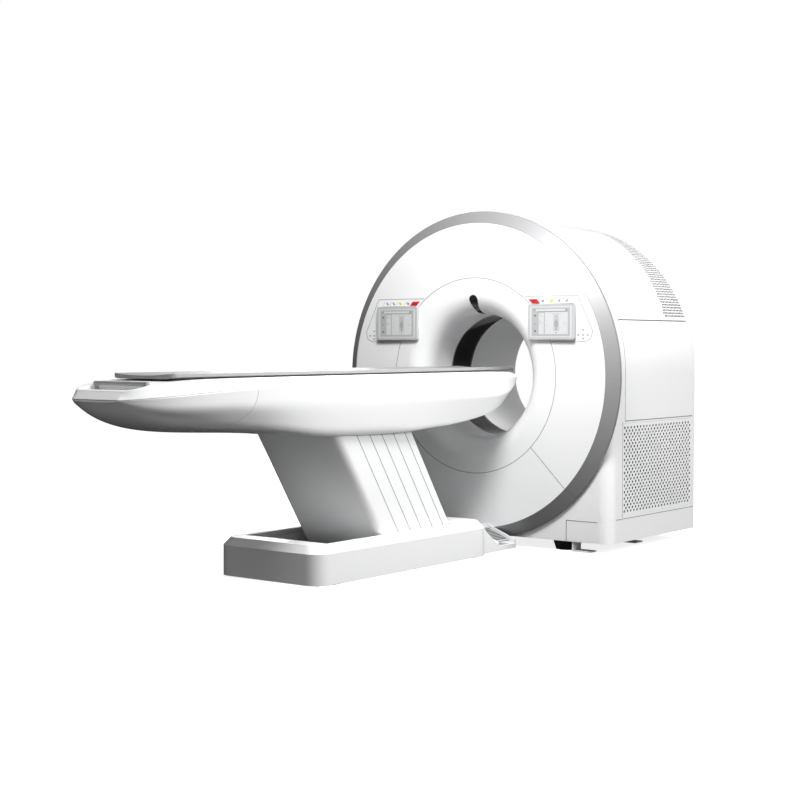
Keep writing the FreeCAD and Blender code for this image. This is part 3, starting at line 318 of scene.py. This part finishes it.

# Top cover with its air vents: hexagonal holes in a band that narrows along the rear edge, cut
# through the moulding, each with a black plug sunk in it as painted shade for the dark inside.
vented = bpy.data.objects.new("vented_top", nodes["top_cover"].data.copy())
bpy.context.scene.collection.objects.link(vented)
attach(vented, "gantry_and_base")
vent_rows, vent_pitch, vent_rear = 46, 0.018, 0.655
punches = bmesh.new()
plugs = bmesh.new()
for side in (-1.0, 1.0):
    for row in range(vent_rows):
        lean = math.radians(69.0 - 1.19 * row)
        reach = 0.24 * math.sqrt(max(0.0, 1.0 - (row / vent_rows) ** 1.6)) * (1.0 - 0.35 * row / vent_rows)
        outward = Vector((side * math.sin(lean), 0.0, math.cos(lean)))
        turn = outward.to_track_quat("Z", "Y").to_matrix().to_4x4()
        for step in range(int(reach / vent_pitch) + 1):
            y = vent_rear - vent_pitch * step - (vent_pitch / 2.0 if row % 2 else 0.0)
            for form, radius, depth, centre in ((punches, 0.0076, 0.02, half_w),
                                                (plugs, 0.0074, 0.003, 0.8727)):
                turn.translation = Vector((0.0, y, arch_z)) + outward * centre
                bmesh.ops.create_cone(form, cap_ends=True, segments=6, radius1=radius, radius2=radius,
                                      depth=depth, matrix=turn)
cut(vented, punches)
vented.data.materials.clear()
vented.data.materials.append(white)
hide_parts("top_cover")
# Near-black rough finish with a coarse grain: painted shade in the vent holes and behind the grilles.
painted_shade_black = finish("painted_shade_black", (0.02, 0.021, 0.023), (0.035, 0.036, 0.038), 0.9, scale=60.0,
                     grain=500.0, bump=0.6)
# Black plugs sunk in every vent hole: painted shade for the dark inside of the vents.
add_piece("vent_painted_shade_plugs", plugs, painted_shade_black, "gantry_and_base")

# Side grilles: punched white sheet let into the side covers, with a black sheet behind as painted shade seen
# through the holes.
dress(white, "side_grille_right", "side_grille_left")
for side in ("right", "left"):
    low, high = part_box("side_grille_" + side)
    inward = -0.012 if side == "right" else 0.012
    # A black sheet just inside each grille: painted shade seen through its holes.
    shade_sheet = bmesh.new()
    add_block(shade_sheet, (low.x + inward - 0.004, low.y + 0.01, low.z + 0.01),
              (high.x + inward - 0.001, high.y - 0.01, high.z - 0.01), 0.001)
    add_piece("grille_painted_shade_" + side, shade_sheet, painted_shade_black, "gantry_and_base")

# Front covers and silver rim: white mouldings clipped between the rim and the funnel, the rim
# spun from sheet and sprayed satin silver.
dress(white, "front_cover_upper", "front_cover_lower")
silver = finish("satin_silver", (0.32, 0.32, 0.325), (0.29, 0.29, 0.295), 0.45, metallic=0.25, scale=3.0,
                grain=2400.0, bump=0.08)
dress(silver, "rim_ring")

# Front seals: the same grey bead round the funnel joint, down both lower diagonals and round the
# control panels.
axis_z = 0.98


def face_y(radius):
    """Front surface of the covers at a radius from the bore axis."""
    return -0.379 + 0.004 * (radius - 0.5658) / 0.3164


def rim_y(radius):
    """Front surface of the silver rim at a radius from the bore axis."""
    return -0.3755 + 0.04 * (radius - 0.883) / 0.067


def add_ring(form, inner, outer, back, depth, steps=160):
    """A flat ring round the bore axis, its back on a plane across the bore."""
    corners = [(inner, back), (outer, back), (outer, back - depth), (inner, back - depth)]
    line = [form.verts.new((x, y, axis_z)) for x, y in corners]
    edges = [form.edges.new(two) for two in zip(line, line[1:] + line[:1])]
    bmesh.ops.spin(form, geom=line + edges, cent=(0.0, 0.0, axis_z), axis=(0.0, 1.0, 0.0),
                   dvec=(0.0, 0.0, 0.0), angle=math.tau, steps=steps, use_merge=True, use_duplicate=False)
    bmesh.ops.recalc_face_normals(form, faces=form.faces[:])


joints = bmesh.new()
add_ring(joints, 0.5635, 0.5672, -0.379, 0.0006)
add_ring(joints, 0.8815, 0.8838, -0.3752, 0.0005)
slant = math.sqrt(0.5)
panel_edge = [(0.34, 1.176), (0.752, 1.176), (0.7875, 1.19), (0.801, 1.234), (0.703, 1.431), (0.355, 1.431)]
for side in (-1.0, 1.0):
    points = [(side * x, face_y(math.hypot(x, z - axis_z)), z) for x, z in panel_edge]
    points[0] = (side * 0.54, face_y(0.575), 1.176)
    for start, end in zip(points, points[1:]):
        add_strip(joints, start, end, 0.0032, 0.0006, forwards)
    rim_facing = (side * 0.51 * slant, -0.86, -0.51 * slant)
    for inner, outer, surface, facing in ((0.568, 0.88, face_y, forwards), (0.886, 0.948, rim_y, rim_facing)):
        add_strip(joints, (side * slant * inner, surface(inner), axis_z - slant * inner),
                  (side * slant * outer, surface(outer), axis_z - slant * outer), 0.0035, 0.0006, facing)
light_grey = finish("light_bead", (0.27, 0.273, 0.28), (0.24, 0.243, 0.25), 0.5, bump=0.05)
add_piece("front_seals", joints, light_grey, "gantry_and_base")

# Funnel: the flared mouth of the bore, in two white mouldings, with the black window of the
# guide lights let in at the top.
dress(white, "funnel_upper", "funnel_lower")
window_film = finish("window_film", (0.012, 0.012, 0.013), (0.018, 0.018, 0.02), 0.12, bump=0.0)
dress(window_film, "guide_light_window")

# Guide light lens: a thin black drop of film on the window, round at its front end and drawn to a
# point along the roll of the funnel.
roll_r, drop_r = 0.12, 0.03
skin_r, mouth_r = 0.1208, 0.48
head, drop_len, roll_y = 0.012, 0.178, -0.261
lens = bmesh.new()
bmesh.ops.create_grid(lens, x_segments=10, y_segments=36, size=0.5)
for corner in lens.verts:
    run = head + drop_len * (corner.co.y + 0.5)
    if run < head + drop_r:
        reach = math.sqrt(max(0.0, drop_r ** 2 - (head + drop_r - run) ** 2))
    else:
        reach = drop_r * max(0.0, 1.0 - (run - head - drop_r) / (drop_len - drop_r))
    roll = min(run / roll_r, math.pi / 2.0)
    radius = mouth_r - skin_r * math.sin(roll)
    turn = 2.0 * corner.co.x * reach / radius
    y = roll_y - skin_r * math.cos(roll) + max(0.0, run - roll_r * math.pi / 2.0)
    corner.co = (radius * math.sin(turn), y, axis_z + radius * math.cos(turn))
bmesh.ops.remove_doubles(lens, verts=lens.verts[:], dist=0.0001)
bmesh.ops.recalc_face_normals(lens, faces=lens.faces[:])
bmesh.ops.solidify(lens, geom=lens.faces[:], thickness=0.0006)
add_piece("guide_light_lens", lens, window_film, "gantry_and_base", 60.0)

# Scan window and liner: a dark gloss film band between two bright trim rings, and the white rear
# liner that flares out at the back.
dress(window_film, "scan_window")
trim = finish("trim_gloss", (0.93, 0.93, 0.93), (0.9, 0.9, 0.9), 0.12, metallic=0.85, bump=0.0)
dress(trim, "window_trim_rings")
dress(white, "bore_liner")

# Control panels: printed white film over flat keys, with a red emergency key that travels.
film = finish("panel_film", (0.85, 0.852, 0.855), (0.83, 0.833, 0.838), 0.42, bump=0.03)
dress(film, "control_panel_right", "control_panel_left")
red = finish("key_red", (0.72, 0.03, 0.03), (0.66, 0.02, 0.02), 0.25, bump=0.0)
dress(red, "stop_key_right", "stop_key_left")

# Key marks: a row of keys beside the red one with a line under them, five marks on the wide part
# of each panel and a dark bar on the red key, all thin raised print.
print_grey = finish("print_grey", (0.3, 0.31, 0.33), (0.27, 0.28, 0.3), 0.4, bump=0.0)
print_yellow = finish("print_yellow", (0.82, 0.6, 0.08), (0.78, 0.56, 0.06), 0.4, bump=0.0)
print_dark = finish("print_dark", (0.05, 0.05, 0.055), (0.07, 0.07, 0.075), 0.35, bump=0.0)
marks = {"grey": bmesh.new(), "yellow": bmesh.new(), "dark": bmesh.new()}


def add_mark(form, x, z, width, height, lean=0.0):
    """A slanted printed bar on the covers' front surface."""
    y = face_y(math.hypot(x, z - axis_z))
    add_strip(form, (x - lean, y, z - height / 2.0), (x + lean, y, z + height / 2.0),
              width, 0.0007, forwards)


key_row = 1.4035
for side in (-1.0, 1.0):
    for colour, x, width, height in (("grey", 0.478, 0.018, 0.012), ("yellow", 0.535, 0.024, 0.012),
                                     ("grey", 0.586, 0.020, 0.007), ("grey", 0.635, 0.020, 0.007)):
        add_mark(marks[colour], side * x, key_row, width, height, side * -0.004)
    for x in (0.502, 0.56, 0.61, 0.662):
        add_mark(marks["grey"], side * x, key_row, 0.0016, 0.024, side * -0.009)
    add_mark(marks["grey"], side * 0.54, 1.388, 0.29, 0.0016)
    for x, z in ((0.0, 0.0), (0.03, 0.0), (-0.03, 0.0), (0.0, 0.028), (0.0, -0.02)):
        add_mark(marks["grey"], side * 0.74 + x, 1.213 + z, 0.012, 0.008)
    add_strip(marks["dark"], (side * 0.424, -0.384, 1.398), (side * 0.418, -0.384, 1.409),
              0.014, 0.0006, forwards)
for colour, paint in (("grey", print_grey), ("yellow", print_yellow), ("dark", print_dark)):
    form = marks[colour]
    add_piece("panel_marks_" + colour, form, paint, "gantry_and_base")

# Displays: flat housings in satin silver grey with a bright glass front.
bezel = finish("bezel_silver", (0.5, 0.505, 0.51), (0.47, 0.475, 0.48), 0.3, bump=0.05)
dress(bezel, "display_right", "display_left")
screen = finish("screen_border", (0.66, 0.665, 0.67), (0.63, 0.635, 0.64), 0.15, bump=0.0)
dress(screen, "display_glasses")

# Screen page: the bright picture of a scan planner, laid on the glass in thin lit layers.
tones = {"ground": (0.439, 0.443, 0.446), "sheet": (0.626, 0.63, 0.634), "field": (0.511, 0.518, 0.526),
         "figure": (0.382, 0.389, 0.396), "ink": (0.15, 0.16, 0.17), "blue": (0.18, 0.42, 0.66)}
glow = {}
for name, colour in tones.items():
    glow[name] = finish("page_" + name, colour, tuple(0.97 * part for part in colour), 0.2, bump=0.0)
page = {name: bmesh.new() for name in glow}
glass_x, glass_y, glass_z = 0.545, -0.4013, 1.2865
glass_half_w, glass_half_h, layer = 0.126, 0.0795, 0.00012


def tile(tone, centre_x, left, right, top, bottom, level):
    """A rectangle of the page, in shares of its width and height."""
    x0 = centre_x - glass_half_w + 2.0 * glass_half_w * left
    x1 = centre_x - glass_half_w + 2.0 * glass_half_w * right
    z0 = glass_z + glass_half_h - 2.0 * glass_half_h * bottom
    z1 = glass_z + glass_half_h - 2.0 * glass_half_h * top
    add_block(page[tone], (x0, glass_y - layer * (level + 1), z0), (x1, glass_y - layer * level, z1))


def disc(tone, centre_x, across, down, wide, high, level):
    """An oval spot of the page."""
    place = Matrix.Translation((centre_x - glass_half_w + 2.0 * glass_half_w * across,
                                glass_y - layer * level - layer / 2.0,
                                glass_z + glass_half_h - 2.0 * glass_half_h * down))
    turn = Matrix.Rotation(math.radians(90.0), 4, "X")
    shape = Matrix.Diagonal((wide * glass_half_w, high * glass_half_h, 1.0, 1.0))
    bmesh.ops.create_cone(page[tone], cap_ends=True, segments=24, radius1=1.0, radius2=1.0, depth=layer,
                          matrix=place @ turn @ shape)


for middle in (-glass_x, glass_x):
    tile("ground", middle, 0.0, 1.0, 0.0, 1.0, 0)
    tile("sheet", middle, 0.11, 0.87, 0.055, 0.12, 1)
    tile("ink", middle, 0.165, 0.94, 0.136, 0.146, 1)
    tile("sheet", middle, 0.187, 0.322, 0.19, 0.93, 1)
    tile("sheet", middle, 0.352, 0.942, 0.167, 0.93, 1)
    tile("field", middle, 0.57, 0.72, 0.244, 0.833, 2)
    for down, tone in ((0.28, "ink"), (0.56, "blue"), (0.82, "ink")):
        tile(tone, middle, 0.065, 0.115, down - 0.03, down + 0.03, 1)
    for top, bottom in ((0.21, 0.30), (0.43, 0.545)):
        tile("figure", middle, 0.215, 0.29, bottom - 0.015, bottom, 2)
        tile("figure", middle, 0.215, 0.228, top, bottom, 2)
    for across in (0.08, 0.91):
        tile("ink", middle, across - 0.012, across + 0.012, 0.06, 0.11, 2)
    disc("figure", middle, 0.645, 0.31, 0.04, 0.075, 3)
    disc("figure", middle, 0.645, 0.567, 0.115, 0.25, 3)
    tile("figure", middle, 0.628, 0.662, 0.68, 0.80, 3)
    tile("ink", middle, 0.643, 0.647, 0.37, 0.78, 4)
    tile("blue", middle, 0.60, 0.69, 0.405, 0.415, 4)
    tile("ink", middle, 0.52, 0.785, 0.216, 0.223, 3)
    tile("figure", middle, 0.385, 0.41, 0.465, 0.49, 2)
    tile("figure", middle, 0.385, 0.41, 0.60, 0.63, 2)
    disc("figure", middle, 0.863, 0.562, 0.05, 0.08, 2)
    disc("sheet", middle, 0.863, 0.562, 0.035, 0.056, 3)
    tile("ink", middle, 0.625, 0.655, 0.872, 0.896, 2)
    tile("field", middle, 0.885, 0.915, 0.872, 0.896, 2)
for tone, form in page.items():
    add_piece("screen_page_" + tone, form, glow[tone], "gantry_and_base")

# Table base: the white base cover with its sloped well, over the floor plate with the lift's
# pivot cheeks and gearmotor.
dress(white, "base_shell")
dress(primer, "base_plate")
dress(alloy, "lift_gearmotor")

# Foot switches: the low white unit between base and gantry, with a grey pedal on each side.
dress(white, "pedal_unit")
pedal = finish("pedal_grey", (0.42, 0.43, 0.44), (0.38, 0.39, 0.4), 0.45, bump=0.2)
dress(pedal, "foot_pedal_right", "foot_pedal_left")

# Pedal treads: nine raised rubber ribs moulded on each sloped pedal, which travel with it.
for name, side in (("right", 1.0), ("left", -1.0)):
    tread = bmesh.new()
    for step in range(9):
        share = 0.12 + 0.095 * step
        x, z = 0.131 + 0.155 * share, 0.112 - 0.058 * share
        add_strip(tread, (side * x, -0.535, z), (side * x, -0.43, z),
                  0.006, 0.0018, (side * 0.35, 0.0, 0.937))
    add_piece("pedal_tread_" + name, tread, rubber, "pedal_" + name)

# Lift: two welded arms that carry the table, hidden in the leaning pedestal: a wide rear cover,
# four pairs of narrow side slats and a front cover.
dress(primer, "lift_arm_front", "lift_arm_rear")
dress(white, "pedestal_front_cover", "pedestal_rear_cover", "side_slats_1", "side_slats_2", "side_slats_3",
      "side_slats_4")


def lean_point(pivot, along, across, x):
    """A point beside a lift link: along it from the low pivot, across it towards the gantry."""
    lean = math.radians(33.0)
    return (x, -0.335 - pivot - along * math.sin(lean) + across * math.cos(lean),
            0.085 + along * math.cos(lean) + across * math.sin(lean))


# Wipers: thin rubber lips down the edges of the rear cover and the slats, each riding on its own
# link.
# body, low pivot, offset across the link, half width, ends along the link
wipers = [("rear_link", 1.081, 0.0515, 0.275, 0.045, 0.86)]
wipers += [("slat_%d" % (index + 1), 0.966 - 0.098 * index, 0.0425, 0.2715 - 0.0025 * index, -0.015, 0.92)
           for index in range(4)]
for body, pivot, across, x, low_end, high_end in wipers:
    lips = bmesh.new()
    for side in (-1.0, 1.0):
        low, high = (lean_point(pivot, end, across, side * x) for end in (low_end, high_end))
        add_strip(lips, low, high, 0.004, 0.0003, (side, 0.0, 0.0))
    add_piece("wiper_" + body, lips, seal_grey, body)

# Table frame: welded steel under the deck.
dress(primer, "table_frame")

# Hull: the deep white moulding under the table, in a tail part and a long middle part. Its sides
# are sharp-edged at the gantry end and melt into one round belly towards the tail.
seam_line = [
    # distance from origin, then half width and height of the seam, of the side and of the belly
    (-3.195, 0.150, 0.921, 0.146, 0.917, 0.130, 0.912),
    (-3.175, 0.178, 0.9222, 0.170, 0.910, 0.148, 0.890),
    (-3.135, 0.215, 0.925, 0.205, 0.896, 0.168, 0.842),
    (-3.035, 0.265, 0.932, 0.256, 0.876, 0.204, 0.795),
    (-2.885, 0.300, 0.944, 0.292, 0.868, 0.230, 0.766),
    (-2.635, 0.318, 0.958, 0.311, 0.866, 0.250, 0.753),
    (-2.435, 0.320, 0.966, 0.314, 0.864, 0.275, 0.745),
    (-2.235, 0.320, 0.971, 0.316, 0.864, 0.292, 0.732),
    (-1.985, 0.320, 0.973, 0.317, 0.866, 0.297, 0.707),
    (-1.535, 0.320, 0.973, 0.317, 0.869, 0.298, 0.699),
    (-1.185, 0.320, 0.973, 0.317, 0.869, 0.298, 0.715),
    (-0.545, 0.320, 0.974, 0.315, 0.869, 0.276, 0.765),
    (-0.425, 0.315, 0.974, 0.309, 0.903, 0.275, 0.878),
    (-0.377, 0.310, 0.975, 0.307, 0.971, 0.298, 0.967),
]


def hull_row(row):
    """Half section from the seam down the side and under the belly to the middle."""
    y, seam_x, seam_z, side_x, side_z, low_x, low_z = row
    round_up = 0.38 * (seam_z - low_z) * min(1.0, max(0.0, (-2.1 - y) / 0.8))
    turn_z = low_z + round_up
    edge_z = max(side_z, turn_z)
    return [(seam_x, y, seam_z), ((seam_x + side_x) / 2.0, y, (seam_z + side_z) / 2.0), (side_x, y, edge_z),
            (side_x * 0.35 + low_x * 0.65, y, edge_z * 0.35 + turn_z * 0.65), (low_x, y, turn_z),
            (low_x * 0.78, y, low_z + 0.42 * round_up), (low_x * 0.42, y, low_z + 0.07 * round_up),
            (0.0, y, low_z)]


def loft_half(rows):
    """Extrude the first half section along all the others."""
    form = bmesh.new()
    line = [form.verts.new(point) for point in rows[0]]
    edges = [form.edges.new(two) for two in zip(line, line[1:])]
    strips = [line]
    for row in rows[1:]:
        made = bmesh.ops.extrude_edge_only(form, edges=edges)["geom"]
        edges = [e for e in made if isinstance(e, bmesh.types.BMEdge)]
        moved = {v for e in edges for v in e.verts}
        line = []
        for old, point in zip(strips[-1], row):
            new = next(o for e in old.link_edges for o in e.verts if o in moved)
            new.co = point
            line.append(new)
        strips.append(line)
    return form, strips


def close_half(form):
    """Mirror a half form across the table's middle and turn all faces outwards."""
    bmesh.ops.mirror(form, geom=form.verts[:] + form.edges[:] + form.faces[:], axis="X", merge_dist=0.0001)
    bmesh.ops.remove_doubles(form, verts=form.verts[:], dist=0.0001)
    bmesh.ops.recalc_face_normals(form, faces=form.faces[:])


def smooth_out(piece, levels, angle):
    """Subdivide a piece and shade it smooth up to an angle."""
    rounder = piece.modifiers.new("round", "SUBSURF")
    rounder.levels = levels
    rounder.render_levels = levels
    settle(piece)
    piece.data.shade_smooth()
    piece.data.set_sharp_from_angle(angle=math.radians(angle))


hull_form, strips = loft_half([hull_row(row) for row in seam_line])
crease = hull_form.edges.layers.float.new("crease_edge")
for index, (here, ahead) in enumerate(zip(strips, strips[1:])):
    sharp = min(1.0, max(0.0, (seam_line[index][0] + 1.9) / 0.8))
    for corner, weight in ((2, sharp), (4, 0.75 * sharp)):
        edge = hull_form.edges.get((here[corner], ahead[corner]))
        edge[crease] = weight
for line in (strips[0], strips[-1]):
    top = hull_form.verts.new((0.0, line[0].co.y, line[0].co.z))
    cap = hull_form.faces.new(line + [top])
    for edge in cap.edges:
        edge[crease] = 1.0
close_half(hull_form)
hull = add_piece("table_hull", hull_form, white, "table_top")
smooth_out(hull, 3, 32.0)
wall = hull.modifiers.new("wall", "SOLIDIFY")
wall.thickness = 0.004
wall.offset = -1.0
settle(hull)

# Parting line between the hull's tail and middle: straight down the side, then swept back
# under the belly.
def parting_blade():
    """A thin bent sheet through the table, to cut the parting line with."""
    blade = bmesh.new()
    path = [(-2.507, 1.03), (-2.507, 0.975)]
    for step in range(1, 8):
        turn = math.radians(11.0 * step)
        path.append((-2.707 + 0.2 * math.cos(turn), 0.975 - 0.2 * math.sin(turn)))
    path.append((-2.775, 0.74))
    verts = [blade.verts.new((-0.4, y, z)) for y, z in path]
    edges = [blade.edges.new(two) for two in zip(verts, verts[1:])]
    made = bmesh.ops.extrude_edge_only(blade, edges=edges)["geom"]
    far_side = [v for v in made if isinstance(v, bmesh.types.BMVert)]
    bmesh.ops.translate(blade, vec=(0.8, 0.0, 0.0), verts=far_side)
    bmesh.ops.recalc_face_normals(blade, faces=blade.faces[:])
    bmesh.ops.solidify(blade, geom=blade.faces[:], thickness=0.0022)
    bmesh.ops.recalc_face_normals(blade, faces=blade.faces[:])
    return blade


def upright_edges(form):
    """The edges of a block that stand up."""
    return [e for e in form.edges if abs(e.verts[0].co.z - e.verts[1].co.z) > 0.1]


cut(hull, parting_blade())
shaft = bmesh.new()
add_block(shaft, (-0.2805, -1.928, 0.6), (0.2805, -1.056, 0.85))
round_edges(shaft, upright_edges(shaft), 0.02, 4)
cut(hull, shaft)
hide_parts("hull_tail", "hull_body")

# Deck: the white top moulding, with a sloped band down to the seam and a pocket for the grab
# handle at the tail.
deck_line = [
    # distance from origin, seam half width and height, deck half width and height
    (-3.195, 0.150, 0.9235, 0.138, 0.957),
    (-3.175, 0.178, 0.9247, 0.162, 0.9615),
    (-3.135, 0.215, 0.9275, 0.198, 0.970),
    (-3.035, 0.265, 0.9345, 0.246, 0.989),
    (-2.885, 0.300, 0.9465, 0.282, 1.0035),
    (-2.635, 0.318, 0.9605, 0.302, 1.007),
    (-2.235, 0.320, 0.9735, 0.304, 1.0075),
    (-1.185, 0.320, 0.9755, 0.304, 1.0075),
    (-0.545, 0.320, 0.9765, 0.304, 1.0075),
    (-0.425, 0.315, 0.9765, 0.300, 1.006),
    (-0.377, 0.310, 0.9775, 0.304, 0.984),
]


def deck_row(index):
    """Half section from the middle of the underside out to the seam and up over the deck."""
    y, seam_x, seam_z, top_x, top_z = deck_line[index]
    back = y + (0.032 if index == 0 else 0.014 if index == 1 else 0.0)
    return [(0.0, y, seam_z), (seam_x, y, seam_z), (top_x, back, top_z), (top_x * 0.9, back, top_z + 0.0005),
            (top_x * 0.5, back, top_z + 0.0005), (0.0, back, top_z + 0.0005)]


deck_form, strips = loft_half([deck_row(index) for index in range(len(deck_line))])
crease = deck_form.edges.layers.float.new("crease_edge")
for here, ahead in zip(strips, strips[1:]):
    for corner in (1, 2):
        deck_form.edges.get((here[corner], ahead[corner]))[crease] = 1.0
for line in (strips[0], strips[-1]):
    cap = deck_form.faces.new(line)
    for edge in cap.edges:
        edge[crease] = 1.0
close_half(deck_form)
deck = add_piece("table_deck", deck_form, white, "table_top")
smooth_out(deck, 3, 30.0)
pocket = bmesh.new()
add_block(pocket, (-0.185, -3.150, 0.946), (0.185, -3.025, 1.2))
round_edges(pocket, upright_edges(pocket), 0.045, 8)
under = [e for e in pocket.edges if max(v.co.z for v in e.verts) < 0.95]
round_edges(pocket, under, 0.008, 3)
cut(deck, pocket)
cut(deck, parting_blade())
softer = deck.modifiers.new("edges", "BEVEL")
softer.width = 0.004
softer.segments = 3
softer.limit_method = "ANGLE"
softer.angle_limit = math.radians(28.0)
softer.use_clamp_overlap = True
settle(deck)
deck.data.shade_smooth()
deck.data.set_sharp_from_angle(angle=math.radians(30.0))
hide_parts("top_deck")

# Grab handle across the tail pocket: a bent tube with the cradle's grey gel coat.
gel_coat = finish("cradle_gel_coat", (0.3, 0.3, 0.305), (0.27, 0.27, 0.275), 0.4, bump=0.1)
dress(gel_coat, "tail_handle")

# Cradle: the grey dished board that carries the patient and slides into the bore.
dress(gel_coat, "cradle")

# Cradle bumper: a black rubber strip across the end of the cradle that goes into the bore.
bumper = bmesh.new()
add_block(bumper, (-0.185, -0.2405, 1.0095), (0.185, -0.2385, 1.0225), 0.0009)
add_piece("cradle_bumper", bumper, black, "cradle")
